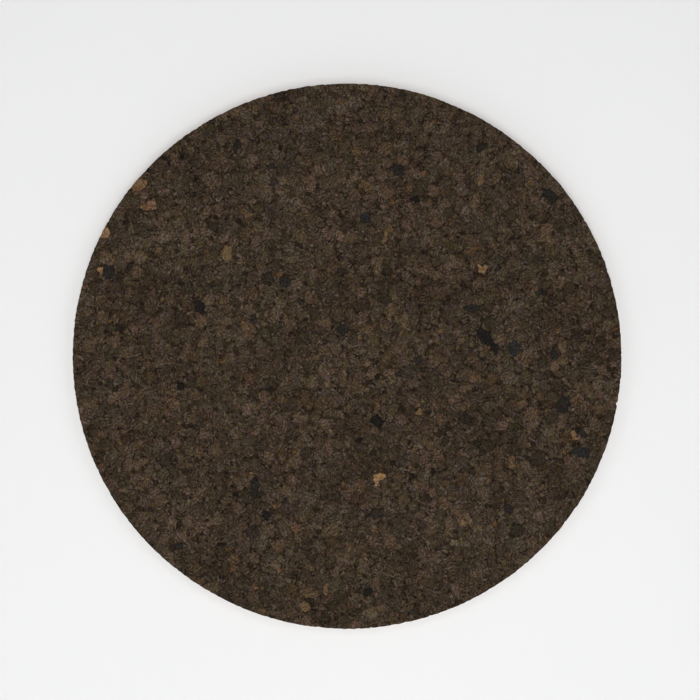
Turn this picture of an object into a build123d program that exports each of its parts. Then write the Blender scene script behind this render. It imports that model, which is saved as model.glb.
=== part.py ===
"""Round frameless cork bulletin board that hangs flat on a wall.

A disc of dark agglomerated cork is glued to a slightly smaller fibreboard disc. Two steel keyhole
plates are screwed to the back over head pockets, and four rubber bumpers keep the board parallel
to the wall.

Frame, in millimetres: the origin is the board's centre, projected onto the wall. +Z is up, +X is
to the right of a person facing the board, and +Y points into the wall, so the cork faces -Y.
Depths are measured from the wall towards the room, which is along -Y.
"""

from build123d import *
from math import cos, radians, sin
import os

# Driving dimensions
BOARD_DIAMETER = 400.0
CORK_THICKNESS = 6.0
GLUE_THICKNESS = 0.2
BACKING_THICKNESS = 6.0
BUMPER_HEIGHT = 2.0
PLATE_THICKNESS = 1.2
HANGER_SPACING = 200.0
HANGER_HEIGHT = 100.0

# Discs: the backing and the glue stop short of the cork's rim, so neither shows from the front
BACKING_SETBACK = 3.0
GLUE_SETBACK = 4.0
CORK_EDGE_BREAK = 0.4
BACKING_CHAMFER = 0.8

# Keyhole plate, a stamped steel strip with round ends
PLATE_LENGTH = 42.0
PLATE_WIDTH = 18.0
PLATE_EDGE_RADIUS = 0.3
ENTRY_RADIUS = 4.5
SLOT_RADIUS = 2.3
ENTRY_DROP = 3.5
SEAT_RISE = 4.5
PLATE_SCREW_OFFSET = 16.0

# Pocket behind each plate, where the wall screw's head travels
POCKET_RADIUS = 5.5
POCKET_DEPTH = 4.5

# Countersunk cross-head screw, 2.9 x 6.5
SCREW_RADIUS = 1.45
SCREW_ROOT_RADIUS = 1.1
SCREW_HEAD_RADIUS = 2.75
SCREW_LENGTH = 6.5
SCREW_PITCH = 1.0
SCREW_POINT = 1.3
SCREW_THREADS = 3
RECESS_LENGTH = 3.0
RECESS_WIDTH = 0.75
RECESS_DEPTH = 0.9
RECESS_TAPER = 12.0
PILOT_DEPTH = 5.5

# Self-adhesive bumper, a low cone with a rounded rim
BUMPER_BASE_RADIUS = 6.3
BUMPER_FACE_RADIUS = 4.8
BUMPER_RIM_RADIUS = 0.6
BUMPER_CIRCLE_RADIUS = 175.0
BUMPER_ANGLES = {
    "upper_right": 30,
    "upper_left": 150,
    "lower_left": 210,
    "lower_right": 330,
}

# Depths of the layers from the wall
backing_depth = BUMPER_HEIGHT
plate_depth = backing_depth - PLATE_THICKNESS
glue_depth = backing_depth + BACKING_THICKNESS
cork_depth = glue_depth + GLUE_THICKNESS
board_radius = BOARD_DIAMETER / 2
backing_radius = board_radius - BACKING_SETBACK
hanger_sides = {"left": -HANGER_SPACING / 2, "right": HANGER_SPACING / 2}
screw_ends = {"upper": PLATE_SCREW_OFFSET, "lower": -PLATE_SCREW_OFFSET}


def on_board(x, z, depth):
    """A plane parallel to the wall at a depth, whose normal points into the room."""
    return Plane(origin=(x, -depth, z), x_dir=(1, 0, 0), z_dir=(0, -1, 0))


def slab(outline, depth, thickness, x=0.0, z=0.0):
    """A flat piece from an outline, lying from a depth towards the room."""
    return extrude(on_board(x, z, depth) * outline, thickness)


def upright_slot(low, high, radius):
    """A vertical slot outline between two round ends centred at heights low and high."""
    middle = (low + high) / 2
    straight = Pos(0, middle) * Rectangle(2 * radius, high - low)
    return straight + Pos(0, low) * Circle(radius) + Pos(0, high) * Circle(radius)


def upright_cone(low_radius, high_radius, height):
    """A cone that stands on its own plane."""
    return Cone(low_radius, high_radius, height, align=(Align.CENTER, Align.CENTER, Align.MIN))


def facing(solid, direction):
    """The face of a solid furthest along -Y (room) or +Y (wall)."""
    faces = solid.faces().sort_by(Axis.Y)
    return faces[0] if direction == "room" else faces[-1]


def cork_face():
    """The pin surface: a plain cork disc with a lightly broken front edge."""
    disc = slab(Circle(board_radius), cork_depth, CORK_THICKNESS)
    return fillet(facing(disc, "room").edges(), CORK_EDGE_BREAK)


def glue_film():
    """The contact adhesive between cork and backing."""
    return slab(Circle(backing_radius - GLUE_SETBACK), glue_depth, GLUE_THICKNESS)


def backing_board():
    """The fibreboard disc, with a head pocket and two pilot holes behind each keyhole plate."""
    disc = slab(Circle(backing_radius), backing_depth, BACKING_THICKNESS)
    disc = chamfer(facing(disc, "wall").edges(), BACKING_CHAMFER)
    pocket = upright_slot(-ENTRY_DROP, SEAT_RISE, POCKET_RADIUS)
    for x in hanger_sides.values():
        disc -= slab(pocket, backing_depth, POCKET_DEPTH, x, HANGER_HEIGHT)
        for rise in screw_ends.values():
            pilot = Circle(SCREW_RADIUS)
            disc -= slab(pilot, backing_depth, PILOT_DEPTH, x, HANGER_HEIGHT + rise)
    return disc


def keyhole_plate(x):
    """A round-ended steel strip with an entry hole, a slot above it and two countersunk holes."""
    end = (PLATE_LENGTH - PLATE_WIDTH) / 2
    plate = slab(upright_slot(-end, end, PLATE_WIDTH / 2), plate_depth, PLATE_THICKNESS, x, HANGER_HEIGHT)
    plate = fillet(facing(plate, "wall").edges(), PLATE_EDGE_RADIUS)
    keyhole = Pos(0, -ENTRY_DROP) * Circle(ENTRY_RADIUS) + upright_slot(-ENTRY_DROP, SEAT_RISE, SLOT_RADIUS)
    plate -= slab(keyhole, plate_depth, PLATE_THICKNESS, x, HANGER_HEIGHT)
    for rise in screw_ends.values():
        sink = upright_cone(SCREW_HEAD_RADIUS, SCREW_RADIUS, PLATE_THICKNESS)
        plate -= on_board(x, HANGER_HEIGHT + rise, plate_depth) * sink
    return plate


def hanger_screw(x, rise):
    """A countersunk screw, flush with its plate, with thread ridges and a cross recess."""
    neck = PLATE_THICKNESS + SCREW_RADIUS - SCREW_ROOT_RADIUS
    outline = [(0, 0), (SCREW_HEAD_RADIUS, 0), (SCREW_RADIUS, PLATE_THICKNESS), (SCREW_ROOT_RADIUS, neck)]
    ridge = SCREW_LENGTH - SCREW_POINT - SCREW_THREADS * SCREW_PITCH
    for _ in range(SCREW_THREADS):
        outline.append((SCREW_ROOT_RADIUS, ridge))
        outline.append((SCREW_RADIUS, ridge + SCREW_PITCH / 2))
        ridge += SCREW_PITCH
    outline += [(SCREW_ROOT_RADIUS, ridge), (0, SCREW_LENGTH)]
    profile = Plane.XZ * make_face(Polyline(*outline, close=True))
    screw = revolve(profile, Axis.Z)
    cross = Rectangle(RECESS_LENGTH, RECESS_WIDTH) + Rectangle(RECESS_WIDTH, RECESS_LENGTH)
    screw -= extrude(cross, RECESS_DEPTH, taper=RECESS_TAPER)
    return on_board(x, HANGER_HEIGHT + rise, plate_depth) * screw


def bumper(angle):
    """A low rubber cone whose narrow face rests on the wall."""
    x = BUMPER_CIRCLE_RADIUS * cos(radians(angle))
    z = BUMPER_CIRCLE_RADIUS * sin(radians(angle))
    cone = upright_cone(BUMPER_FACE_RADIUS, BUMPER_BASE_RADIUS, BUMPER_HEIGHT)
    cone = fillet(cone.faces().sort_by(Axis.Z)[0].edges(), BUMPER_RIM_RADIUS)
    return on_board(x, z, 0) * cone


def all_parts():
    """Every piece of the board by its node name."""
    parts = {
        "cork_face": cork_face(),
        "glue_film": glue_film(),
        "backing_board": backing_board(),
    }
    for side, x in hanger_sides.items():
        parts[f"keyhole_plate_{side}"] = keyhole_plate(x)
        for end, rise in screw_ends.items():
            parts[f"hanger_screw_{side}_{end}"] = hanger_screw(x, rise)
    for place, angle in BUMPER_ANGLES.items():
        parts[f"wall_bumper_{place}"] = bumper(angle)
    return parts


os.makedirs("parts", exist_ok=True)
for name, solid in all_parts().items():
    export_step(solid, f"parts/{name}.step")
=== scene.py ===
"""Looks of the round cork bulletin board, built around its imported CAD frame.

The cork disc is rebuilt as a mesh whose faces follow the cork granules. Each chip or crumb is a low
dome with its own height and colour, a finer matrix lies between them, and the seams are shallow
grooves. The other pieces keep their CAD shapes and get their own materials.

Lengths are in millimetres until points() turns them into the frame's metres. On the board, x runs
to the right and z up from the centre, and depth runs from the wall towards the room, along -Y.
"""

from math import atan2, ceil, cos, pi, radians, sin, tau

import bpy
import numpy as np
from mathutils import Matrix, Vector, noise
from mathutils.geometry import delaunay_2d_cdt


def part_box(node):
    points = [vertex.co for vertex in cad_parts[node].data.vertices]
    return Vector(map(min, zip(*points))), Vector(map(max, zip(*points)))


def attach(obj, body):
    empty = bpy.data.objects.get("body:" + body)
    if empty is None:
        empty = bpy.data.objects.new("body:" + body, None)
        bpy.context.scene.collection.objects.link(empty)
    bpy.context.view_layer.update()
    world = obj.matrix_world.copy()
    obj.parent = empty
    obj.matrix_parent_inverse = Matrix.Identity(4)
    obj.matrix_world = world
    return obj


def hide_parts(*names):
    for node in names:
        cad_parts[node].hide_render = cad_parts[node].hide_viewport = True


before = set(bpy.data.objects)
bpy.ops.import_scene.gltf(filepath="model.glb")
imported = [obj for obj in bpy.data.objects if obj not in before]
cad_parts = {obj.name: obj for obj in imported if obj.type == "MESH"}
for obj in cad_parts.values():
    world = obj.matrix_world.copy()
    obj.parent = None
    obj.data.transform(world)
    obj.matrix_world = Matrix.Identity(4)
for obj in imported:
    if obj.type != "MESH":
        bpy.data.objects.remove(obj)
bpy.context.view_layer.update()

MM = 0.001
rng = np.random.default_rng(41)

# The cork disc, from its CAD node
cork_low, cork_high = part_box("cork_face")
RADIUS = (cork_high.x - cork_low.x) / 2 / MM
FRONT = -cork_low.y / MM
BACK = -cork_high.y / MM
THICKNESS = FRONT - BACK

# Layout of the granules: large chips, single crumbs, and a fine matrix that fills the rest
CHIP_HALF_LENGTH = (1.8, 4.8)
CHIP_ROUNDNESS = (0.6, 0.95)
CHIP_TRIES = 12000
CHIP_PROBES = 10
SMALL_CHIP_BIAS = 2.6
CELL_RADII = (0.95, 1.9)
CELL_TRIES = 60000
CELL_CLOSENESS = 0.86
CELL_CLEARANCE = 0.7
CRUMB_SHARE = 0.34

# The ring of cells in each oval: its spacing, how far in it lies, and how uneven it is
RING_STEP = 2.3
RING_GAP = 0.9
FEWEST_IN_RING = 4
FLAKE_LUMPS = 0.16
CHIP_LUMPS = 0.08
LUMP_LIMIT = 1.5
RIVAL_MARGIN = 0.3
CORE_HALF_WIDTH = 1.5

# Corners of the cells are welded where they nearly meet, and nudged out of line
WELD = 0.35
CORNER_JITTER = 0.16
EDGE_LIMIT = 9.0

# Bands inside the rim: mirrored to close the layout, stretched to the outline, not nudged, empty
MIRROR_BAND = 9.0
RIM_BLEND = 6.0
RIM_BLEND_END = 0.5
STILL_BAND = 2.0
RIM_MARGIN = 1.3

# Tops near the rim stay clear of the outline, which is probed to each side of them
TOP_BAND = 1.2
TOP_CLEARANCE = 0.3
PROBE_STEP = 0.6
PROBES = 4

# Relief: heights and sinks count towards the wall, and domes rise towards the room
SEAM_WIDTH = (0.18, 0.36)
SEAM_DEPTH = (0.08, 0.3)
SEAM_FOLLOW = 0.6
FOLD_INSET = 0.3
CHIP_RELIEF = 0.06
MATRIX_SINK = 0.08
MATRIX_RELIEF = 0.07
DOME = (0.03, 0.12)
TILT = 0.012
OUTLIER = 2.5
PIT_SHARE = 0.05
PIT_DEPTH = 0.6
PIT_WIDTH = 0.55

# A top is drawn in from its seam by the least of these shares: of the seam's width, of the way to
# the nearest cell's middle, and of the shortest edge there
INSET_SHARES = (1.2, 0.4, 0.9)

# Flakes that stand out: x, z, length, width, tilt in degrees, linear colour. Neighbours that
# overlap and share a colour are lobes of one flake.
TAN = (0.129, 0.0735, 0.0366)
BRIGHT = (0.166, 0.0967, 0.0462)
GOLD = (0.226, 0.126, 0.059)
OCHRE = (0.100, 0.0620, 0.0300)
FAWN = (0.082, 0.0505, 0.0285)
RUST = (0.068, 0.0378, 0.0195)
SAND = (0.082, 0.0590, 0.0360)
DUN = (0.070, 0.0440, 0.0260)
BROWN = (0.063, 0.0370, 0.0177)
UMBER = (0.0235, 0.0152, 0.0095)
ASH = (0.0195, 0.0145, 0.0100)
COAL = (0.0162, 0.0131, 0.0102)
SLATE = (0.0155, 0.0143, 0.0130)
SOOT = (0.0094, 0.0075, 0.0062)
DARK = (UMBER, ASH, COAL, SLATE, SOOT)
FLAKES = [
    (-151.7, 125.3, 9, 6, 40, TAN),
    (-145, 110, 9.8, 6.2, 15, TAN),
    (-176.5, 90, 7.4, 5.2, 60, BRIGHT),
    (-88, 75, 9.4, 7.2, 80, OCHRE),
    (-180.2, 63, 4.8, 3.4, 80, BRIGHT),
    (-72, 103, 5.2, 2.4, 20, FAWN),
    (97.6, 128.2, 6.8, 4.4, 80, OCHRE),
    (27.5, 86.5, 6.8, 2.8, 75, OCHRE),
    (31, 93.5, 5, 3.2, 70, RUST),
    (93, 78, 11.5, 3.6, 25, RUST),
    (97.3, 64.6, 3.6, 2, 120, BRIGHT),
    (100.9, 64.8, 3.6, 2, 60, BRIGHT),
    (99, 62.8, 3.6, 2.2, 0, BRIGHT),
    (15, -5.3, 5, 3.8, 0, FAWN),
    (24, -88, 7.2, 3.8, 5, GOLD),
    (21.4, -92.6, 4.2, 1, 85, GOLD),
    (87.5, -117.4, 6.4, 5, 90, DUN),
    (85, -120.8, 4, 2.6, 60, OCHRE),
    (90.2, -120.8, 4.4, 2.8, 120, FAWN),
    (166.3, -58.4, 7.4, 2, -50, TAN),
    (128.4, -34.8, 6.6, 3.4, 10, FAWN),
    (120.5, -77.3, 6.8, 3, 80, OCHRE),
    (72, -92.5, 4.5, 3, 80, BROWN),
    (-15.6, -170.8, 4.8, 2.7, 85, OCHRE),
    (53, -41, 4.8, 3.4, 0, OCHRE),
    (-31, -183.5, 7.6, 6.4, 0, OCHRE),
    (-174, 62, 10, 7.6, 100, COAL),
    (-108, 36, 9.2, 5.6, -65, SOOT),
    (-3.6, 19.4, 8.8, 6.4, 20, COAL),
    (-45.3, 54, 8.8, 5.2, 0, COAL),
    (50, 115, 6, 4.2, 0, SOOT),
    (37, 135.6, 9.2, 7, -40, COAL),
    (13, 101, 5.6, 5, 0, SLATE),
    (148.6, 117.4, 9.8, 6, -40, COAL),
    (142, 46.6, 7, 4.2, 0, COAL),
    (101, 14, 14.5, 7.6, -45, SOOT),
    (107, 6.8, 8.5, 4, -48, SOOT),
    (121.8, 5.2, 9.4, 6.6, -75, SLATE),
    (167.3, 16, 5.4, 4.2, 0, UMBER),
    (170.6, 13.4, 5.4, 4.2, -30, UMBER),
    (91.5, 35.4, 9, 4.6, -10, COAL),
    (98.6, 152.8, 6.2, 3.6, 35, COAL),
    (40.5, 191.2, 4.4, 3.4, 0, ASH),
    (52, -3.2, 5.2, 4.6, -50, COAL),
    (-67.4, -95.4, 12, 5.6, 82, COAL),
    (-58.6, -116.4, 5.8, 5, 90, SOOT),
    (-121.2, -22, 4.4, 3.4, -45, SOOT),
    (22.2, -47.6, 9, 6.6, -35, SOOT),
    (157.8, -35.2, 11, 9, 60, COAL),
    (171.2, -70.3, 12.6, 5.2, -3, SLATE),
    (117.4, -111.4, 7.8, 5.2, -60, COAL),
    (21.4, -115, 10.4, 6.2, -5, ASH),
    (15.7, -172.2, 5.8, 4, 75, SOOT),
    (62.6, -83.8, 4.8, 2, 80, SOOT),
    (-122.2, -139, 5, 4.4, 0, COAL),
    (-80, 154, 6.2, 4.4, 50, COAL),
    (-53, 127.6, 4.6, 3.8, 0, ASH),
    (139, -75, 11, 10, 30, UMBER),
    (86.6, -45.7, 8.6, 5.2, 0, ASH),
    (70.5, -55, 7, 3.2, 30, UMBER),
    (171.5, -56, 7.6, 3.4, -40, COAL),
    (151, 1, 6.8, 4.2, 85, SLATE),
    (147, -13, 4.4, 3.6, 0, UMBER),
    (37.6, -12.8, 4, 3, 0, COAL),
    (18.6, -71, 4.2, 3, 0, ASH),
    (47, -88, 4, 2.6, 60, SOOT),
    (57, -103.5, 6.2, 2.4, 20, UMBER),
    (48.6, -187, 5.4, 3.4, 0, ASH),
    (-53.8, 171.6, 5.4, 4.2, 40, UMBER),
    (-48.7, 190.6, 4.4, 3.4, 0, ASH),
    (-67.7, 26.7, 5.6, 4.4, 70, ASH),
    (-97, 94.8, 6.4, 4.4, 10, UMBER),
    (-56, 138.7, 4, 3, 0, COAL),
    (-3.4, 62.6, 4.2, 3.4, 0, ASH),
    (78.6, -136.4, 5.4, 4.6, 0, SAND),
    (151.7, -6.9, 6.6, 4.4, 80, DUN),
    (92.5, -16.4, 6.4, 5.4, 0, FAWN),
    (85.9, -23.7, 8.6, 4.2, 10, DUN),
    (-138, 77.2, 4.2, 3.2, 30, FAWN),
    (-88, 25.3, 6.4, 5.2, 0, DUN),
    (-105, 10, 8.8, 4.4, 40, DUN),
    (-75, 157.7, 4.6, 3.4, 0, DUN),
    (-10.7, 105, 6.4, 5.2, 90, DUN),
    (62.5, -99.8, 6.2, 4.4, 90, DUN),
]

# Linear brown of the cork, how each channel follows a granule's level, which makes the brighter
# ones a little pinker, and the level and spread of each kind of granule
CORK_BROWN = (0.0446, 0.0300, 0.0179)
CHANNEL_POWER = (1.03, 0.94, 1.02)
MATRIX_TONE = (0.96, 0.18)
CRUMB_TONE = (0.98, 0.26)
CHIP_TONE = (1.06, 0.22)
PALEST = 1.5

# Widths of the patches of the matrix and of their grain, and how rough all noise is
PATCH = 5.8
GRAIN = 3.0
NOISE_ROUGHNESS = 0.55

# Less common granules: share of all granules, and what their colour is multiplied by
KINDS = [
    (0.070, (1.26, 1.14, 0.99)),
    (0.034, (1.40, 1.14, 0.84)),
    (0.060, (1.20, 1.06, 1.05)),
    (0.080, (0.96, 1.02, 1.04)),
    (0.028, (0.46, 0.49, 0.52)),
]
CHIP_KINDS = [
    (0.040, (1.15, 1.05, 0.94)),
    (0.300, (1.07, 1.01, 1.04)),
    (0.120, (0.94, 0.99, 1.00)),
    (0.012, (0.55, 0.57, 0.59)),
]

# How far a granule's channels stray, and what the colours of pits and top edges are multiplied by
# # as painted shade, and of top middles as a painted highlight
HUE_SPREAD = (0.026, 0.015, 0.050)
PIT_PAINTED_SHADE = 0.4
EDGE_PAINTED_SHADE = 0.94
MIDDLE_PAINTED_HIGHLIGHT = 1.05

# How calm the grain is. It is 0 in the matrix and 1 on a granule, and an edge has a share of that
FLAKE_CALM = 1.6
DARK_FLAKE_CALM = 1.3
EDGE_CALM = 0.7

# Pattern of the shader: its crumbs, how far it is pushed about, the share of patches with round
# grain, the brightest shade, and each channel's power, drift size and drift
FINE_CRUMB = 2.4
PUSH = 3.5
ROUND_SHARE = 0.38
BRIGHTEST = 2.1
CHANNELS = {
    "Red": (0.95, 2.8, 0.060),
    "Green": (1.13, 3.4, -0.050),
    "Blue": (1.30, 2.2, 0.24),
}

# Outline: two slow waves, the knife's waver as pace and reach, and nicks in the edge
OVALITY = 0.73
OVALITY_DEGREES = 9
LOBES = 0.1
LOBES_PHASE = 2.6
WAVER = ((9, 0.22), (60, 0.4))
NICK_PACE = 95
NICK_RARITY = 0.30
NICK_DEPTH = 1.3

# Front edge, side wall and back of the disc
RIM_STEP = 1.1
RIM_DROP = 0.35
RIM_UNEVEN = 0.1
# RIM_SEAM gives the rounded front edge a fixed share of the seams' darkening
RIM_SEAM = 0.4
SIDE_ROWS = 7
SIDE_GRANULE = 3.6
SIDE_GRAIN = 1.9
SIDE_ROUGHNESS = 0.28
SIDE_SEAM = 0.3
SIDE_SEAM_SLOPE = 3
SIDE_COLOURS = 4096
SIDE_SHUFFLE = 31.7
BACK_LIP = 7.0

# Rest of the scene
PAPER = ((0.86, 0.86, 0.86, 1), (0.85, 0.85, 0.85, 1))
AMBIENT = 0.12
BACKDROP = 0.80
BACKDROP_COLOUR = (0.93, 0.94, 0.95, 1)
WALL_HALF = 1000.0
WALL_GAP = 0.2
FLOOR_DROP = 850.0
FLOOR_FADE = (900.0, 2400.0)
LENS = 100.0
SENSOR = 36.0
FRAME_SPAN = 511.7
AIM = (2.15, 4.53)


def points(rows):
    """Board coordinates (x, z, depth) in millimetres, as metres in the frame."""
    rows = np.asarray(rows, float).reshape(-1, 3)
    return np.column_stack([rows[:, 0], -rows[:, 2], rows[:, 1]]) * MM


def polar(radius, angle):
    """The x and z of a point, from its distance and direction from the disc's centre."""
    return radius * cos(angle), radius * sin(angle)


def outline(angle):
    """The disc's radius in one direction: slightly out of round, with a hand-cut waver and nicks."""
    oval = OVALITY * cos(2 * (angle + radians(OVALITY_DEGREES)))
    lobes = LOBES * cos(6 * angle - LOBES_PHASE)
    spot = Vector((*polar(1, angle), 0))
    waver = sum(reach * noise.noise(spot * pace) for pace, reach in WAVER)
    nick = min(0.0, noise.noise(spot * NICK_PACE) + NICK_RARITY) * NICK_DEPTH
    return RADIUS + oval + lobes + waver + nick


def inside_rim(x, z):
    """A point, moved in where it would come too near the outline."""
    angle = atan2(z, x)
    probes = (outline(angle + k * PROBE_STEP / RADIUS) for k in range(-PROBES, PROBES + 1))
    share = min(1.0, (min(probes) - TOP_CLEARANCE) / np.hypot(x, z))
    return x * share, z * share


# ---- granule layout


class Oval:
    """A chip's outline on the board."""

    def __init__(self, x, z, a, b, turn):
        self.x, self.z, self.a, self.b, self.turn = x, z, a, b, turn
        self.way = cos(turn), sin(turn)

    def point(self, angle, stretch=1.0, outward=0.0):
        """A point on the outline, stretched and moved outward."""
        u = (self.a * stretch + outward) * cos(angle)
        v = (self.b * stretch + outward) * sin(angle)
        return self.x + u * self.way[0] - v * self.way[1], self.z + u * self.way[1] + v * self.way[0]

    def holds(self, x, z, margin):
        """Whether a point is inside the outline grown by a margin."""
        dx, dz = x - self.x, z - self.z
        reach = self.a + margin
        if abs(dx) > reach or abs(dz) > reach:
            return False
        u = dx * self.way[0] + dz * self.way[1]
        v = dz * self.way[0] - dx * self.way[1]
        return (u / reach) ** 2 + (v / (self.b + margin)) ** 2 < 1


def pairs(ring):
    """Each item of a closed ring with the one before it."""
    return zip(ring[-1:] + ring[:-1], ring)


class Bins:
    """Items with their points, in a grid of boxes that finds those near a point."""

    def __init__(self, size):
        self.size = size
        self.items = []
        self.boxes = {}

    def add(self, x, z, item):
        """Keeps an item, and puts it in the box that its point is in."""
        self.items.append(item)
        self.boxes.setdefault((int(x // self.size), int(z // self.size)), []).append(item)

    def near(self, x, z):
        """The items in a point's box and the eight boxes round it."""
        bx, bz = int(x // self.size), int(z // self.size)
        return [k for i in (-1, 0, 1) for j in (-1, 0, 1) for k in self.boxes.get((bx + i, bz + j), ())]


def random_spots(count, radius):
    """Points spread evenly over a disc."""
    reach = np.sqrt(rng.uniform(0, 1, count)) * radius
    turn = rng.uniform(0, tau, count)
    return zip(reach * np.cos(turn), reach * np.sin(turn))


def place_ovals():
    """The flakes first, then chips from large to small wherever they fit."""
    flakes = [Oval(x, z, length / 2, width / 2, radians(tilt)) for x, z, length, width, tilt, _ in FLAKES]
    ovals = Bins(2 * max(CHIP_HALF_LENGTH[1], max(flake.a for flake in flakes)) + 2 * RING_GAP)
    for flake in flakes:
        ovals.add(flake.x, flake.z, flake)
    shares = np.sort(rng.uniform(0, 1, CHIP_TRIES) ** SMALL_CHIP_BIAS)[::-1]
    halves = CHIP_HALF_LENGTH[0] + shares * (CHIP_HALF_LENGTH[1] - CHIP_HALF_LENGTH[0])
    for half, (x, z) in zip(halves, random_spots(CHIP_TRIES, RADIUS)):
        chip = Oval(x, z, half, half * rng.uniform(*CHIP_ROUNDNESS), rng.uniform(0, pi))
        edge = [chip.point(tau * k / CHIP_PROBES) for k in range(CHIP_PROBES)]
        if not any(other.holds(ex, ez, RING_GAP) for other in ovals.near(x, z) for ex, ez in edge):
            ovals.add(x, z, chip)
    return ovals


def flake_kin(ovals):
    """For each oval, the flake it is part of and the earlier flakes it gives way to."""
    kin = [(index, []) for index in range(len(ovals))]
    for index in range(len(FLAKES)):
        oval = ovals[index]
        reach = [other for other in range(index) if ovals[other].holds(oval.x, oval.z, oval.a)]
        same = [other for other in reach if FLAKES[other][5] == FLAKES[index][5]]
        kin[index] = (kin[same[0]][0] if same else index, reach)
    return kin


def add_seed(seeds, x, z, owner, size):
    """Keeps the middle of a cell, unless it is too near the rim. Its owner is an oval's number."""
    if np.hypot(x, z) < RADIUS - RIM_MARGIN:
        seeds.add(x, z, (x, z, owner, size))


def seed_ovals(seeds, ovals):
    """A ring of seeds inside each oval, and one in its middle where it is wide enough."""
    kin = flake_kin(ovals)
    for index, oval in enumerate(ovals):
        gap = min(RING_GAP, 0.5 * oval.b)
        count = max(FEWEST_IN_RING, round(pi * (oval.a + oval.b - 2 * gap) / RING_STEP))
        phase = rng.uniform(0, tau)
        lumpy = FLAKE_LUMPS if index < len(FLAKES) else CHIP_LUMPS
        lumps = 1 + lumpy * rng.standard_normal(count).clip(-LUMP_LIMIT, LUMP_LIMIT)
        owner, rivals = kin[index]
        for k in range(count):
            x, z = oval.point(phase + tau * k / count, lumps[k], -gap)
            if not any(ovals[rival].holds(x, z, RIVAL_MARGIN) for rival in rivals):
                add_seed(seeds, x, z, owner, gap)
        if oval.b - gap > CORE_HALF_WIDTH and owner == index:
            add_seed(seeds, oval.x, oval.z, index, gap)


def seed_matrix(seeds, ovals):
    """Seeds between the ovals, from large to small, wherever they fit. Their owner is -1."""
    sizes = np.sort(rng.uniform(*CELL_RADII, CELL_TRIES))[::-1]
    for size, (x, z) in zip(sizes, random_spots(CELL_TRIES, RADIUS - RIM_MARGIN)):
        near = seeds.near(x, z)
        if any(np.hypot(sx - x, sz - z) < CELL_CLOSENESS * (size + other) for sx, sz, _, other in near):
            continue
        if not any(oval.holds(x, z, CELL_CLEARANCE * size) for oval in ovals.near(x, z)):
            add_seed(seeds, x, z, -1, size)


def scatter():
    """Middles of all the cells, and the oval that each belongs to, or -1 in the matrix."""
    ovals = place_ovals()
    seeds = Bins(2 * CELL_RADII[1])
    seed_ovals(seeds, ovals.items)
    seed_matrix(seeds, ovals)
    rows = np.array(seeds.items)
    return rows[:, :2], rows[:, 2].astype(int)


def triangulate(sites):
    """Triangles between sites, as rows of three site numbers."""
    made = delaunay_2d_cdt([Vector(s) for s in sites], [], [], 0, 1e-7)
    source = [ids[0] for ids in made[3]]
    return np.array([[source[v] for v in face] for face in made[2]])


def circumcentres(sites, triangles):
    """The point at equal distances from the three corners of each triangle."""
    a, b, c = (sites[triangles[:, k]] for k in range(3))
    ab, ac = b - a, c - a
    cross = 2 * (ab[:, 0] * ac[:, 1] - ab[:, 1] * ac[:, 0])
    ab2, ac2 = (ab**2).sum(1), (ac**2).sum(1)
    ux = (ac[:, 1] * ab2 - ab[:, 1] * ac2) / cross
    uz = (ab[:, 0] * ac2 - ac[:, 0] * ab2) / cross
    return a + np.column_stack([ux, uz])


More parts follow.
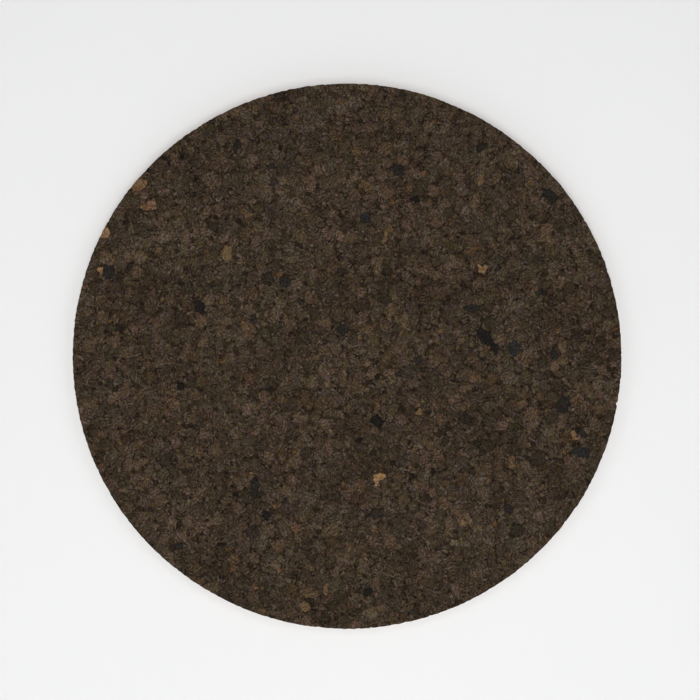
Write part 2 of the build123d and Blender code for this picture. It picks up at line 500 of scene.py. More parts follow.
class Layout:
    """The cells round a set of seeds: where their corners are, and which granule each belongs to."""

    def __init__(self):
        seeds, owners = scatter()
        self.count = len(seeds)
        self.seeds = seeds
        reach = np.hypot(*seeds.T)
        outer = reach > RADIUS - MIRROR_BAND
        mirrored = seeds[outer] * ((2 * RADIUS - reach[outer]) / reach[outer])[:, None]
        self.sites = np.vstack([seeds, mirrored])
        triangles = triangulate(self.sites)
        centres = circumcentres(self.sites, triangles)
        self.corner_of = self.weld(triangles, centres)
        self.cells = self.rings(triangles, centres)
        self.loosen()
        self.around = self.fans()
        self.granule = self.join_cells(owners)

    def weld(self, triangles, centres):
        """Corners closer together than WELD become one. Returns each triangle's corner number."""
        parent = list(range(len(triangles)))

        def root(k):
            """The number that all the triangles welded to this one share."""
            while parent[k] != k:
                parent[k] = parent[parent[k]]
                k = parent[k]
            return k

        edge_owner = {}
        for t, (a, b, c) in enumerate(triangles.tolist()):
            for edge in ((a, b), (b, c), (c, a)):
                edge = (min(edge), max(edge))
                other = edge_owner.setdefault(edge, t)
                if other != t and np.hypot(*(centres[t] - centres[other])) < WELD:
                    parent[root(t)] = root(other)
        roots = np.array([root(t) for t in range(len(triangles))])
        names, corner_of = np.unique(roots, return_inverse=True)
        total = np.zeros((len(names), 2))
        np.add.at(total, corner_of, centres)
        self.corners = total / np.bincount(corner_of)[:, None]
        return corner_of

    def loosen(self):
        """Nudges the corners, less where edges are short, and stretches the rim to the outline."""
        self.shortest = np.full(len(self.corners), EDGE_LIMIT)
        for ring in self.cells:
            for start, end in pairs(ring):
                length = np.hypot(*(self.corners[end] - self.corners[start]))
                for corner in (start, end):
                    self.shortest[corner] = min(self.shortest[corner], length)
        nudge = rng.normal(0, CORNER_JITTER, self.corners.shape)
        reach = np.hypot(self.corners[:, 0], self.corners[:, 1])
        nudge[reach > RADIUS - STILL_BAND] = 0
        self.corners += nudge.clip(-1, 1) * self.shortest[:, None]
        for k in np.flatnonzero(reach > RADIUS - RIM_BLEND):
            x, z = self.corners[k]
            share = min(1.0, (reach[k] - RADIUS + RIM_BLEND) / (RIM_BLEND - RIM_BLEND_END))
            self.corners[k] *= 1 + share * (outline(atan2(z, x)) / RADIUS - 1)

    def rings(self, triangles, centres):
        """Each seed's corners, anticlockwise seen from the room."""
        touching = [[] for _ in range(len(self.sites))]
        for t, row in enumerate(triangles.tolist()):
            for site in row:
                touching[site].append(t)
        cells = []
        for site in range(self.count):
            x, z = self.sites[site]
            order = sorted(touching[site], key=lambda t: atan2(centres[t][1] - z, centres[t][0] - x))
            ring = [int(self.corner_of[t]) for t in order]
            cells.append([corner for before, corner in pairs(ring) if corner != before])
        return cells

    def fans(self):
        """The seeds round each corner, in turn."""
        around = {}
        for site, ring in enumerate(self.cells):
            for corner in ring:
                around.setdefault(corner, []).append(site)
        for corner, sites in around.items():
            x, z = self.corners[corner]
            sites.sort(key=lambda s: atan2(self.sites[s][1] - z, self.sites[s][0] - x))
        return around

    def join_cells(self, owners):
        """Granule 0 is the matrix, then come the ovals, then crumbs of one cell."""
        self.owner_of_edge = {}
        for site, ring in enumerate(self.cells):
            for edge in pairs(ring):
                self.owner_of_edge[edge] = site
        granule = owners + 1
        loose = np.flatnonzero(owners < 0)
        crumbs = loose[rng.uniform(0, 1, len(loose)) < CRUMB_SHARE]
        granule[crumbs] = granule.max() + 1 + np.arange(len(crumbs))
        self.first_crumb = owners.max() + 2
        self.granule_count = int(granule.max()) + 1
        self.members = [[] for _ in range(self.granule_count)]
        for site, owner in enumerate(granule):
            self.members[owner].append(site)
        return granule

    def border(self, granule):
        """The corners round a granule in turn, or None where it isn't in one piece."""
        following = {}
        total = 0
        for site in self.members[granule]:
            for start, end in pairs(self.cells[site]):
                other = self.owner_of_edge.get((end, start))
                if other is None or self.granule[other] != granule:
                    following[start] = (end, site)
                    total += 1
        if not following or total != len(following):
            return None
        start = next(iter(following))
        corner, loop = start, []
        while True:
            end, site = following[corner]
            loop.append((corner, site))
            corner = end
            if corner == start:
                return loop if len(loop) == total else None
            if corner not in following:
                return None


# ---- cork colours


def brown(tone):
    """The cork's linear colour at a level, or one row for each of several levels."""
    return np.array(CORK_BROWN) * np.asarray(tone)[..., None] ** CHANNEL_POWER


def bounded(spread, shape):
    """Normal numbers, none further from zero than OUTLIER spreads."""
    return rng.normal(0, spread, shape).clip(-OUTLIER * spread, OUTLIER * spread)


def granule_colours(count, tone, kinds):
    """A linear colour for each granule: mostly close browns, a few pale, rusty, grey or charred."""
    level, spread = tone
    colours = brown(level * np.exp(rng.normal(0, spread, count).clip(None, PALEST * spread)))
    colours *= 1 + rng.normal(0, HUE_SPREAD, (count, 3))
    kind = rng.uniform(0, 1, count)
    start = 0.0
    for share, factors in kinds:
        chosen = (kind >= start) & (kind < start + share)
        colours[chosen] *= np.array(factors)
        start += share
    return colours


# ---- cork mesh


def star_shaped(spots):
    """Whether every edge of a ring can be seen from the ring's middle."""
    ends = spots - spots.mean(0)
    starts = np.roll(ends, 1, axis=0)
    return (starts[:, 0] * ends[:, 1] - starts[:, 1] * ends[:, 0]).min() > 0.01


def folded(spots):
    """Whether a seam's quad crosses itself, or has a top corner on the wrong side of its groove."""
    along = spots[2] - spots[1]
    tops = spots[[0, 3]] - spots[1]
    sides = along[0] * tops[:, 1] - along[1] * tops[:, 0]
    return sides.min() <= 0 or (spots[3] - spots[0]) @ along <= 0


class CorkMesh(Layout):
    """Builds the vertices, their colours and the faces of the whole disc on its layout."""

    def __init__(self):
        super().__init__()
        self.rows, self.faces = [], []
        count = self.granule_count
        chips, crumbs = self.first_crumb, count - self.first_crumb
        self.colour = np.vstack([
            granule_colours(chips, CHIP_TONE, CHIP_KINDS),
            granule_colours(crumbs, CRUMB_TONE, KINDS),
        ])
        self.height = bounded(CHIP_RELIEF, count)
        self.slope = bounded(TILT, (count, 2))
        self.width = rng.uniform(*SEAM_WIDTH, count)
        self.dome = rng.uniform(*DOME, count)
        self.spin = rng.uniform(0, tau, count)
        self.calm = np.ones(count)
        for granule, flake in enumerate(FLAKES, 1):
            self.colour[granule] = flake[5]
            self.calm[granule] = DARK_FLAKE_CALM if flake[5] in DARK else FLAKE_CALM
        pits = rng.uniform(0, 1, count) < PIT_SHARE
        pits[: self.first_crumb] = False
        self.height[pits] += PIT_DEPTH
        # Pits are darkened: painted shade in the hollows.
        self.colour[pits] *= PIT_PAINTED_SHADE
        self.width[pits] = PIT_WIDTH
        sums = np.zeros((count, 2))
        np.add.at(sums, self.granule, self.seeds)
        self.middle = sums / np.bincount(self.granule, minlength=count)[:, None].clip(1)

    def add(self, x, z, depth, colour, seam=0.0, spin=0.0, calm=0.0):
        """The number of a new vertex with its place, colour and what else the material reads."""
        self.rows.append((x, z, depth, *colour, seam, spin, calm))
        return len(self.rows) - 1

    def front(self):
        """Granule tops and the seams between them."""
        rim = self.rim_corners()
        tops, grooves = {}, {}
        for corner, sites in self.around.items():
            on_rim = corner in rim
            sectors = self.sectors(corner, sites, on_rim)
            whole = len(sectors) == 1 and not on_rim
            for sector in sectors:
                others = [site for site in sites if site not in sector]
                vertex = self.top_vertex(corner, sector, others, whole)
                for site in sector:
                    tops[(corner, site)] = vertex
            if not whole:
                grooves[corner] = self.groove_vertex(corner, sites, on_rim)
        edges = {}
        for site, ring in enumerate(self.cells):
            for start, end in pairs(ring):
                other = self.owner_of_edge.get((end, start))
                if other is None:
                    edges[start] = (end, site)
                elif self.granule[other] != self.granule[site]:
                    self.faces.append([tops[(start, site)], grooves[start], grooves[end], tops[(end, site)]])
        self.unfold(self.faces)
        self.cover_tops(tops)
        return tops, grooves, edges

    def unfold(self, quads):
        """Where a seam's quad folds over, its top corners are drawn back towards the seam."""
        for quad in quads:
            spots = np.array([self.rows[vertex][:2] for vertex in quad])
            if folded(spots):
                for top, groove in ((0, 1), (3, 2)):
                    x, z = spots[groove] + FOLD_INSET * (spots[top] - spots[groove])
                    self.rows[quad[top]] = (x, z, *self.rows[quad[top]][2:])

    def cover_tops(self, tops):
        """A low dome over each chip and crumb, and one face for each cell of the matrix."""
        for granule in range(self.granule_count):
            loop = self.border(granule) if granule else None
            ring = [tops[key] for key in loop or ()]
            spots = np.array([self.rows[vertex][:3] for vertex in ring])
            if loop and star_shaped(spots[:, :2]):
                x, z, depth = spots.mean(0)
                # The dome's middle is lightened: a painted highlight on the top.
                colour, height = MIDDLE_PAINTED_HIGHLIGHT * self.colour[granule], depth + self.dome[granule]
                spin, calm = self.spin[granule], self.calm[granule]
                middle = self.add(x, z, height, colour, spin=spin, calm=calm)
                self.faces += [[middle, *pair] for pair in pairs(ring)]
            else:
                for site in self.members[granule]:
                    self.faces.append([tops[(corner, site)] for corner in self.cells[site]])

    def rim_corners(self):
        """Corners on the disc's outline."""
        owner = self.owner_of_edge
        return {c for start, end in owner if (end, start) not in owner for c in (start, end)}

    def sectors(self, corner, sites, on_rim):
        """The cells round a corner, in runs that belong to one granule."""
        granule = self.granule
        if on_rim:
            gaps = [k for k in range(len(sites)) if not self.adjacent(corner, sites[k - 1], sites[k])]
            start = gaps[0] if gaps else 0
            sites = sites[start:] + sites[:start]
        runs = [[sites[0]]]
        for previous, site in zip(sites, sites[1:]):
            if granule[site] == granule[previous] and self.adjacent(corner, previous, site):
                runs[-1].append(site)
            else:
                runs.append([site])
        joins = granule[sites[0]] == granule[sites[-1]] and self.adjacent(corner, sites[-1], sites[0])
        if len(runs) > 1 and joins:
            runs[0] = runs.pop() + runs[0]
        return runs

    def adjacent(self, corner, first, second):
        """Whether two cells share an edge that ends at this corner."""
        owner = self.owner_of_edge
        ring = self.cells[first]
        k = ring.index(corner)
        before, after = ring[k - 1], ring[(k + 1) % len(ring)]
        return second in (owner.get((corner, before)), owner.get((after, corner)))

    def drawn_in(self, corner, sector, others):
        """A corner moved from its seam towards the cells of one granule."""
        x, z = self.corners[corner]
        away = self.seeds[sector] - (x, z)
        reach = np.hypot(*away.T)
        back = self.seeds[others] - (x, z) if others else np.array([[x, z]])
        back /= np.hypot(*back.T)[:, None]
        way = (away / reach[:, None]).mean(0) - back.mean(0)
        way /= max(np.hypot(*way), 1e-6)
        width = self.width[self.granule[sector[0]]]
        inset = np.multiply(INSET_SHARES, (width, reach.min(), self.shortest[corner])).min()
        return x + way[0] * inset, z + way[1] * inset

    def top_vertex(self, corner, sector, others, whole):
        """A granule's top at a corner, where its edge is drawn in from the seam."""
        x, z = self.corners[corner]
        granule = self.granule[sector[0]]
        near_rim = np.hypot(x, z) > RADIUS - TOP_BAND
        if not whole:
            x, z = self.drawn_in(corner, sector, others)
        if near_rim:
            x, z = inside_rim(x, z)
        if granule == 0:
            tone = MATRIX_TONE[0] * np.exp(rng.normal(0, MATRIX_TONE[1]))
            sink = MATRIX_SINK + rng.normal(0, MATRIX_RELIEF)
            return self.add(x, z, FRONT - sink, brown(tone))
        sink = self.height[granule] + self.slope[granule] @ (np.array([x, z]) - self.middle[granule])
        # A top's edge is darkened towards its seam: painted shade.
        colour, calm = EDGE_PAINTED_SHADE * self.colour[granule], EDGE_CALM * self.calm[granule]
        return self.add(x, z, FRONT - sink, colour, spin=self.spin[granule], calm=calm)

    def groove_vertex(self, corner, sites, on_rim):
        """The bottom of the seam at a corner. On the rim it lies on the disc's outline."""
        x, z = self.corners[corner]
        granules = self.granule[sites]
        colour = self.colour[granules].mean(0)
        depth = FRONT - SEAM_FOLLOW * self.height[granules].max() - rng.uniform(*SEAM_DEPTH)
        if on_rim:
            angle = atan2(z, x)
            x, z = polar(outline(angle), angle)
            depth = FRONT - RIM_DROP
        # The seam value darkens the colour in the cork's shader: partly dark binder, partly painted shade in
        # the groove.
        return self.add(x, z, depth, colour, seam=rng.uniform(0.0, 1.0))

    def angle_of(self, vertex):
        """The direction of a vertex from the disc's centre."""
        return atan2(self.rows[vertex][1], self.rows[vertex][0])

    def rim(self, tops, grooves, edges):
        """Rounds the front edge over and returns the outline's vertices in turn."""
        start = next(iter(edges))
        corner, loop = start, []
        while True:
            end, site = edges[corner]
            first, last = grooves[corner], grooves[end]
            angle = self.angle_of(first)
            span = (self.angle_of(last) - angle + pi) % tau - pi
            pieces = max(1, ceil(abs(span) * RADIUS / RIM_STEP))
            colour = self.colour[self.granule[site]]
            between = [self.edge_vertex(angle + span * k / pieces, colour) for k in range(1, pieces)]
            self.faces.append([tops[(corner, site)], first, *between, last, tops[(end, site)]])
            loop += [first, *between]
            corner = end
            if corner == start:
                return loop

    def edge_vertex(self, angle, colour):
        """A point of the outline between two corners."""
        depth = FRONT - RIM_DROP + rng.uniform(-RIM_UNEVEN, RIM_UNEVEN)
        return self.add(*polar(outline(angle), angle), depth, colour, seam=RIM_SEAM)

    def side_vertex(self, angle, depth, palette, lowest):
        """A point of the cut side, in the colour of the granule there, and set in at its seams."""
        spot = Vector((*polar(RADIUS, angle), depth))
        distances, middles = noise.voronoi(spot / SIDE_GRANULE)
        pick = int(abs(noise.cell(middles[0] * SIDE_SHUFFLE)) * (SIDE_COLOURS - 1)) % SIDE_COLOURS
        # At the side's granule seams the shader darkens the colour: partly dark binder, partly painted
        # shade.
        seam = 1 - min(1.0, (distances[1] - distances[0]) * SIDE_SEAM_SLOPE)
        rough = SIDE_ROUGHNESS * noise.noise(spot / SIDE_GRAIN) - SIDE_SEAM * seam
        if lowest:
            rough = min(rough, 0)
        return self.add(*polar(outline(angle) + rough, angle), depth, palette[pick], seam=seam)

    def side_and_back(self, loop):
        """The cut side, rough with granule ends, and the flat back."""
        palette = granule_colours(SIDE_COLOURS, CRUMB_TONE, KINDS)
        angles = [self.angle_of(vertex) for vertex in loop]
        ring = loop
        for row in range(1, SIDE_ROWS + 1):
            depth = FRONT - RIM_DROP - row / SIDE_ROWS * (THICKNESS - RIM_DROP)
            above = ring
            ring = [self.side_vertex(angle, depth, palette, row == SIDE_ROWS) for angle in angles]
            self.band(above, ring)
        lip = []
        for vertex, angle in zip(ring, angles):
            colour = self.rows[vertex][3:6]
            lip.append(self.add(*polar(RADIUS - BACK_LIP, angle), BACK, colour))
        self.band(ring, lip)
        self.faces.append(lip[::-1])

    def band(self, upper, lower):
        """Quads between two rings, the second further from the room or further in."""
        for (before, after), (low_before, low_after) in zip(pairs(upper), pairs(lower)):
            self.faces.append([after, before, low_before, low_after])

    def build(self):
        """The finished mesh, with the colours and the rest as attributes."""
        tops, grooves, edges = self.front()
        loop = self.rim(tops, grooves, edges)
        self.side_and_back(loop)
        used = sorted({vertex for face in self.faces for vertex in face})
        place = {vertex: k for k, vertex in enumerate(used)}
        faces = [[place[vertex] for vertex in face] for face in self.faces]
        mesh = bpy.data.meshes.new("cork_granules")
        rows = np.array(self.rows)[used]
        mesh.from_pydata(points(rows[:, :3]).tolist(), [], faces)
        colours = np.column_stack([rows[:, 3:6], np.ones(len(rows))])
        granule = mesh.attributes.new("granule", "FLOAT_COLOR", "POINT")
        granule.data.foreach_set("color", colours.astype(np.float32).ravel())
        for name, values in zip(("seam", "spin", "calm"), rows[:, 6:].T):
            attribute = mesh.attributes.new(name, "FLOAT", "POINT")
            attribute.data.foreach_set("value", values.astype(np.float32))
        mesh.validate()
        return mesh


# ---- materials


class Recipe:
    """A material's node tree, built with short calls."""

    def __init__(self, name, roughness, specular, metallic=0.0):
        self.material = bpy.data.materials.new(name)
        self.material.use_nodes = True
        self.tree = self.material.node_tree
        self.shader = self.tree.nodes["Principled BSDF"]
        plain = {"Roughness": roughness, "Specular IOR Level": specular, "Metallic": metallic}
        for name, value in plain.items():
            self.shader.inputs[name].default_value = value
        self.place = self.node("TexCoord").outputs["Object"]

    def plug(self, value, socket):
        """Links a result to an input, or sets the input to a number, vector or colour."""
        if isinstance(value, bpy.types.NodeSocket):
            self.tree.links.new(value, socket)
        else:
            socket.default_value = value

    def node(self, kind, inputs=None, **settings):
        """A new node with its settings, and its inputs by name or number."""
        made = self.tree.nodes.new("ShaderNode" + kind)
        for name, value in settings.items():
            setattr(made, name, value)
        for name, value in (inputs or {}).items():
            self.plug(value, made.inputs[name])
        return made

    def math(self, operation, first, second=0.0, third=0.0):
        """A Math node's result, from numbers or sockets."""
        return self.node("Math", {0: first, 1: second, 2: third}, operation=operation).outputs[0]

    def vector(self, operation, first, second):
        """A Vector Math node's result, from vectors, colours or sockets."""
        return self.node("VectorMath", {0: first, 1: second}, operation=operation).outputs[0]

    def times(self, value, *factors):
        """Several values multiplied together."""
        for factor in factors:
            value = self.math("MULTIPLY", value, factor)
        return value

    def mix(self, factor, first, second):
        """The first number where the factor is 0, and the second where it is 1."""
        rest = self.times(first, self.math("SUBTRACT", 1.0, factor))
        return self.math("MULTIPLY_ADD", second, factor, rest)

    def spread(self, value, to_low=0, to_high=1, low=0.3, high=0.7):
        """A value taken to a range from another, by default from the one that most noise keeps to."""
        ends = {"From Min": low, "From Max": high, "To Min": to_low, "To Max": to_high}
        return self.node("MapRange", {"Value": value, **ends}).outputs["Result"]

    def shaped(self, *rows):
        """The product of several values, each spread by its own row of numbers."""
        return self.times(*(self.spread(*row) for row in rows))

    def noise(self, size, detail=2, place=None, distortion=0.0, output="Fac"):
        """Noise with features about size millimetres across."""
        inputs = {"Vector": place or self.place, "Scale": 1 / (size * MM), "Detail": detail}
        inputs |= {"Distortion": distortion, "Roughness": NOISE_ROUGHNESS}
        return self.node("TexNoise", inputs).outputs[output]

    def scaled(self, *factors):
        """The object's coordinates, scaled along each axis."""
        return self.node("Mapping", {"Vector": self.place, "Scale": factors}).outputs[0]

    def cells(self, size, place):
        """Cells about size millimetres across: the distance to a cell's middle, and its channels."""
        made = self.node("TexVoronoi", {"Vector": place, "Scale": 1 / (size * MM)}, feature="F1")
        return made.outputs["Distance"], self.channels(made.outputs["Color"])

    def channels(self, colour):
        """The Red, Green and Blue of a colour."""
        return self.node("SeparateColor", {"Color": colour}).outputs

    def attribute(self, name, output="Fac"):
        """A number or a colour that the mesh holds at its vertices."""
        return self.node("Attribute", attribute_name=name).outputs[output]

    def blend(self, factor, first, second):
        """One colour or the other, by a factor. Inputs 6 and 7 of a Mix node are its colours."""
        return self.node("Mix", {0: factor, 6: first, 7: second}, data_type="RGBA").outputs[2]

    def finish(self, colour=None, roughness=None, height=None, depth=0.1):
        """Links the results to the shader. depth is how far the bump rises, in millimetres."""
        for name, value in (("Base Color", colour), ("Roughness", roughness)):
            if value is not None:
                self.tree.links.new(value, self.shader.inputs[name])
        if height is not None:
            bump = self.node("Bump", {"Height": height, "Distance": depth * MM, "Strength": 1.0})
            self.tree.links.new(bump.outputs["Normal"], self.shader.inputs["Normal"])
        return self.material


class CorkRecipe(Recipe):
    """Chips are calm and finely grained. The matrix is a tangle of bright crumbs and dark pores."""

    def __init__(self):
        super().__init__("dark_cork", 0.86, 0.10)
        self.level = self.attribute("calm")
        self.calm = self.math("MINIMUM", self.level, 1)
        self.bent = self.pushed_place()
        self.patch_distance, self.patch = self.cells(PATCH, self.bent)
        self.crumb_distance, crumb = self.cells(FINE_CRUMB, self.bent)
        self.own = crumb["Red"]
        self.tangle = self.noise(1.3, place=self.bent)
        self.pore = self.noise(2.0, 1, place=self.bent)
        self.speck = self.noise(0.95)
        self.grain = self.waves()

    def pushed_place(self):
        """Coordinates pushed about, so that nothing is straight."""
        push = self.vector("SUBTRACT", self.noise(PUSH, 1, output="Color"), (0.5, 0.5, 0.5))
        reach = PUSH * MM
        return self.vector("ADD", self.place, self.vector("MULTIPLY", push, (reach, reach, reach)))

    def waves(self):
        """Grain from -1 to 1. It is straight on a chip, and straight or round in a patch of matrix."""
        on_chip = self.spread(self.calm, 0, 1, 0.1, 0.3)
        turn = self.mix(on_chip, self.times(self.patch["Red"], tau), self.attribute("spin"))
        inputs = {"Vector": self.bent, "Angle": turn, "Axis": (0, 1, 0)}
        turned = self.node("VectorRotate", inputs, rotation_type="AXIS_ANGLE").outputs[0]
        across = self.node("SeparateXYZ", {"Vector": turned}).outputs["X"]
        straight = self.times(across, tau / (GRAIN * MM))
        ringed = self.times(self.patch_distance, tau * PATCH / GRAIN)
        in_rings = self.math("GREATER_THAN", self.patch["Blue"], 1 - ROUND_SHARE)
        phase = self.mix(self.mix(on_chip, in_rings, 0), straight, ringed)
        phase = self.times(phase, self.spread(self.patch["Green"], 0.75, 1.3, 0, 1))
        phase = self.math("MULTIPLY_ADD", self.noise(4.0, 1), 7.0, phase)
        strength = self.shaped(
            (self.noise(2.2, 1), 0.10, 1, 0.38, 0.58),
            (self.patch["Green"], 0.6, 1, 0, 0.6),
        )
        return self.times(self.math("SINE", phase), strength)

    def matrix_shade(self):
        """The matrix's brightness, with painted light and shade on its patches and crumbs."""
        return self.shaped(
            (self.grain, 0.32, 1.84, -1, 1),
            (self.own, 0.57, 1.53, 0, 1),
            (self.tangle, 0.52, 1.59),
            (self.pore, 0.30, 1, 0.29, 0.40),
            (self.noise(6.0), 0.82, 1.20, 0.32, 0.68),
            # Lighter in the middle of each patch and crumb, darker towards its edge: painted light and
            # shade, as on low domes.
            (self.patch_distance, 1.10, 0.74, 0.25, 0.65),
            (self.patch["Red"], 0.82, 1.20, 0, 1),
            (self.crumb_distance, 1.12, 0.70, 0.25, 0.70),
        )

    def chip_shade(self):
        """A chip's brightness, which varies less than the matrix's."""
        return self.shaped(
            (self.grain, 0.56, 1.50, -1, 1),
            (self.own, 0.84, 1.18, 0, 1),
            (self.tangle, 0.74, 1.28),
            (self.pore, 0.50, 1, 0.29, 0.38),
        )

    def shade(self):
        """Brightness with specks and pores, which flakes have less of, dark seams and broad areas."""
        plain = self.mix(self.calm, self.matrix_shade(), self.chip_shade())
        specks = self.shaped(
            (self.speck, 0.53, 1.54, 0.28, 0.72),
            (self.noise(1.15, 1), 0.28, 1, 0.27, 0.36),
        )
        share = self.spread(self.level, 1, 0.36, 1, 2)
        even = self.spread(self.level, 0, 0.67, 1, 2)
        evened = self.math("MULTIPLY_ADD", self.times(plain, specks), share, even)
        areas = self.shaped(
            # Darker at the seams: partly dark binder, partly painted shade in the grooves.
            (self.attribute("seam"), 1, 0.50, 0.2, 1),
            (self.noise(38), 0.84, 1.18),
        )
        return self.math("MINIMUM", self.times(evened, areas), BRIGHTEST)

    def colour(self):
        """The granules' colours, shaded. Each channel drifts a little by itself, less on flakes."""
        shade = self.shade()
        drift = self.spread(self.level, 1, 0.2, 1, 2)
        tints = {}
        for channel, (power, size, reach) in CHANNELS.items():
            off = self.times(self.spread(self.noise(size, 1), -reach, reach), drift)
            tints[channel] = self.times(self.math("POWER", shade, power), self.math("ADD", off, 1))
        tint = self.node("CombineColor", tints).outputs["Color"]
        return self.vector("MULTIPLY", self.attribute("granule", "Color"), tint)

    def height(self):
        """The relief of crumbs, specks and grain."""
        height = self.times(self.own, 0.4)
        height = self.math("MULTIPLY_ADD", self.speck, 0.9, height)
        return self.math("MULTIPLY_ADD", self.grain, 0.3, height)


def cork_material():
    """Dark agglomerated cork, matt and dry."""
    r = CorkRecipe()
    roughness = r.spread(r.speck, 0.92, 0.78)
    return r.finish(r.colour(), roughness, r.height(), 0.16)


def fibreboard_material():
    """Pressed wood fibre: pale brown, with fibres, dark flecks and a rubbed sheen."""
    r = Recipe("fibreboard", 0.7, 0.3)
    warp = r.noise(9, output="Color")
    fibre = r.noise(1.1, 3.0, r.scaled(1, 1, 0.45), 2.0)
    across = r.noise(0.8, 3.0, r.scaled(0.45, 1, 1), 2.0)
    blotch = r.noise(45, 3.0)
    fleck = r.spread(r.noise(2.1, 1), 0, 1, 0.68, 0.78)
    base = r.blend(r.spread(blotch), (0.30, 0.175, 0.085, 1), (0.37, 0.225, 0.118, 1))
    shade = r.times(r.spread(fibre, 0.78, 1.2), r.spread(across, 0.8, 1.18))
    colour = r.blend(fleck, r.vector("MULTIPLY", base, shade), (0.11, 0.055, 0.026, 1))
    roughness = r.spread(r.channels(warp)["Red"], 0.6, 0.8)
    return r.finish(colour, roughness, r.math("ADD", fibre, across), 0.06)


def steel_material(name, brushed):
    """Zinc plate: a faint crystal bloom under fine rolling lines."""
    r = Recipe(name, 0.34, 0.5, metallic=1.0)
    line = r.noise(0.22, 3.0, r.scaled(1, 1, 0.03))
    bloom = r.noise(2.6, 3.0, distortion=0.6)
    smudge = r.noise(11, 3.0)
    colour = r.blend(r.spread(bloom), (0.50, 0.51, 0.53, 1), (0.66, 0.66, 0.655, 1))
    colour = r.vector("MULTIPLY", colour, r.spread(smudge, 0.84, 1.06))
    rough = r.spread(bloom, 0.26, 0.42)
    rough = r.math("ADD", rough, r.spread(line, 0, 0.1))
    return r.finish(colour, rough, line, 0.012 if brushed else 0.004)


def rubber_material():
    """Moulded rubber: near black, dusty, finely pitted."""
    r = Recipe("bumper_rubber", 0.72, 0.35)
    dust = r.noise(3.4, 4.0)
    pits = r.noise(0.3)
    colour = r.blend(r.spread(dust, 0, 1, 0.35, 0.75), (0.013, 0.013, 0.014, 1), (0.038, 0.037, 0.035, 1))
    return r.finish(colour, r.spread(dust, 0.62, 0.84), pits, 0.03)


def adhesive_material():
    """Dried contact adhesive: amber, patchy and half gloss."""
    r = Recipe("contact_adhesive", 0.45, 0.5)
    patch = r.noise(4, 3.0)
    colour = r.blend(r.spread(patch), (0.30, 0.19, 0.07, 1), (0.46, 0.31, 0.13, 1))
    return r.finish(colour, r.spread(patch, 0.3, 0.6), patch, 0.08)


# ---- pieces


def new_object(name, data):
    """An object in the scene for a mesh, a light or a camera."""
    made = bpy.data.objects.new(name, data)
    bpy.context.scene.collection.objects.link(made)
    return made


def make_cork():
    """The cork disc, which stands for the plain CAD disc."""
    piece = new_object("cork_granule_disc", CorkMesh().build())
    piece.data.materials.append(cork_material())
    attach(piece, "root")
    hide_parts("cork_face")
    return piece


def dress(prefix, material):
    """Gives every CAD node whose name starts with prefix the material."""
    for name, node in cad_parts.items():
        if name.startswith(prefix):
            node.data.materials.clear()
            node.data.materials.append(material)


# ---- stage, light and camera


def plane(name, corners, material):
    """A flat backdrop from its four corners."""
    mesh = bpy.data.meshes.new(name)
    mesh.from_pydata(corners, [], [(0, 1, 2, 3)])
    piece = new_object(name, mesh)
    mesh.materials.append(material)
    return piece


def paper(name):
    """Plain pale studio paint."""
    r = Recipe(name, 0.9, 0.0)
    mottle = r.noise(300)
    colour = r.blend(r.spread(mottle), *PAPER)
    return r, r.finish(colour)


def clear_where(recipe, factor):
    """Lets the background through where the factor is 1."""
    clear = recipe.node("BsdfTransparent").outputs[0]
    mixed = recipe.node("MixShader", {0: factor, 1: recipe.shader.outputs[0], 2: clear})
    recipe.tree.links.new(mixed.outputs[0], recipe.tree.nodes["Material Output"].inputs["Surface"])


def wall():
    """The wall that the board hangs on. From behind it isn't there, so the board's back shows."""
    r, material = paper("wall_paint")
    behind = r.node("NewGeometry").outputs["Backfacing"]
    shadow = r.node("LightPath").outputs["Is Shadow Ray"]
    clear_where(r, r.math("MAXIMUM", behind, shadow))
    half, low = WALL_HALF * MM, -FLOOR_DROP * MM
    back = WALL_GAP * MM
    corners = [(-half, back, low), (half, back, low), (half, back, half), (-half, back, half)]
    return plane("studio_wall", corners, material)


def floor():
    """A pale floor that fades into the background with distance."""
    r, material = paper("floor_paint")
    reach = r.node("VectorMath", {0: r.place}, operation="LENGTH").outputs["Value"]
    clear_where(r, r.spread(reach, 0, 1, FLOOR_FADE[0] * MM, FLOOR_FADE[1] * MM))
    half, low = FLOOR_FADE[1] * MM, -FLOOR_DROP * MM
    corners = [(-half, -half, low), (half, -half, low), (half, half, low), (-half, half, low)]
    return plane("studio_floor", corners, material)


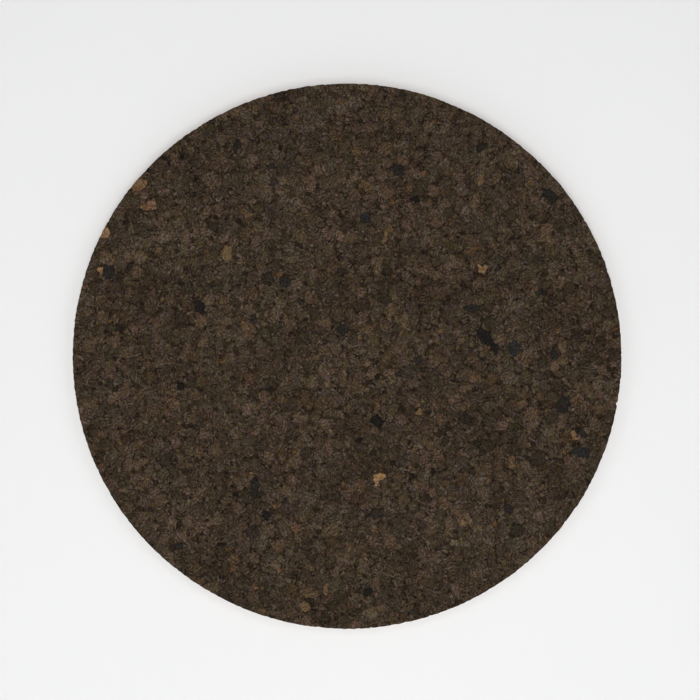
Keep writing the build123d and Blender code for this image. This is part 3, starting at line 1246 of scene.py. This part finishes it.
def soft_light(name, place, size, power, target=(0, 0, 0)):
    """A rectangular area light, aimed at a point. Places and sizes are in metres."""
    light = bpy.data.lights.new(name, "AREA")
    light.shape = "RECTANGLE"
    light.size, light.size_y = size
    light.energy = power
    lamp = new_object(name, light)
    lamp.location = place
    way = Vector(target) - Vector(place)
    lamp.rotation_mode = "QUATERNION"
    lamp.rotation_quaternion = way.to_track_quat("-Z", "Y")
    return lamp


def lights():
    """Soft light from in front, mostly from near the camera and below it, and a separate pair behind."""
    soft_light("axis_key", (-0.02, -2.1, -0.06), (0.1, 0.16), 15.2)
    soft_light("low_key", (0, -2.1, -0.52), (0.25, 1.0), 13.2)
    soft_light("left_soft", (-1.25, -1.95, 0.08), (1.0, 1.0), 4.7)
    soft_light("right_soft", (1.25, -1.95, 0.08), (1.0, 1.0), 4.7)
    soft_light("high_fill", (0, -2.2, 0.85), (0.7, 0.7), 3.6)
    soft_light("rear_soft", (-0.8, 1.9, 1.6), (2.0, 2.0), 42, target=(0, 0.3, -0.2))
    soft_light("rear_fill", (1.6, 1.8, 0.2), (1.2, 1.2), 14)


def backdrop():
    """A pale backdrop for the camera, and a weaker fill for every surface."""
    world = bpy.data.worlds.new("studio")
    world.use_nodes = True
    nodes, links = world.node_tree.nodes, world.node_tree.links
    level = nodes.new("ShaderNodeMapRange")
    level.inputs["To Min"].default_value = AMBIENT
    level.inputs["To Max"].default_value = BACKDROP
    background = nodes["Background"].inputs
    background["Color"].default_value = BACKDROP_COLOUR
    links.new(nodes.new("ShaderNodeLightPath").outputs["Is Camera Ray"], level.inputs["Value"])
    links.new(level.outputs["Result"], background["Strength"])
    bpy.context.scene.world = world


def camera():
    """Straight on to the front, through a long lens."""
    view = bpy.data.cameras.new("photo_camera")
    view.lens = LENS
    view.sensor_width = SENSOR
    eye = new_object("photo_camera", view)
    distance = FRAME_SPAN * LENS / SENSOR
    eye.location = points([(AIM[0], AIM[1], FRONT + distance)])[0]
    eye.rotation_euler = (radians(90), 0, 0)
    bpy.context.scene.camera = eye


make_cork()
dress("glue_film", adhesive_material())
dress("backing_board", fibreboard_material())
dress("keyhole_plate", steel_material("zinc_plate", True))
dress("hanger_screw", steel_material("screw_zinc", False))
dress("wall_bumper", rubber_material())
wall()
floor()
lights()
backdrop()
camera()
bpy.context.scene.view_settings.view_transform = "Standard"
